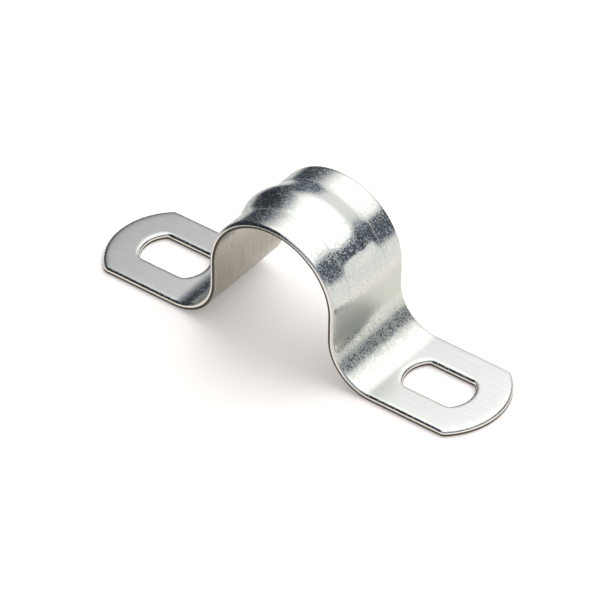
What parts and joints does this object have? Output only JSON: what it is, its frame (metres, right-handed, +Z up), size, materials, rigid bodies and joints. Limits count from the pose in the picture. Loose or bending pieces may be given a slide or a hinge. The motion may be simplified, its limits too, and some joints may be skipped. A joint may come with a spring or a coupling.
{
  "type": "conduit strap",
  "caption": "Strap folded from one steel strip: an arch that holds a round conduit against a surface, with a stiffening rib over its crown and a slotted foot on each side.",
  "frame": {"origin": "on the mounting surface, under the middle of the arch", "axes": "+X along the strap from foot to foot, +Y across the strip and along the conduit, +Z up from the mounting surface"},
  "size_m": [0.068, 0.0166, 0.0234],
  "materials": {
    "zinc_plated_steel": "bright zinc plate on cold-rolled steel strip"
  },
  "bodies": {
    "root": {"strap": "zinc_plated_steel"}
  },
  "joints": []
}
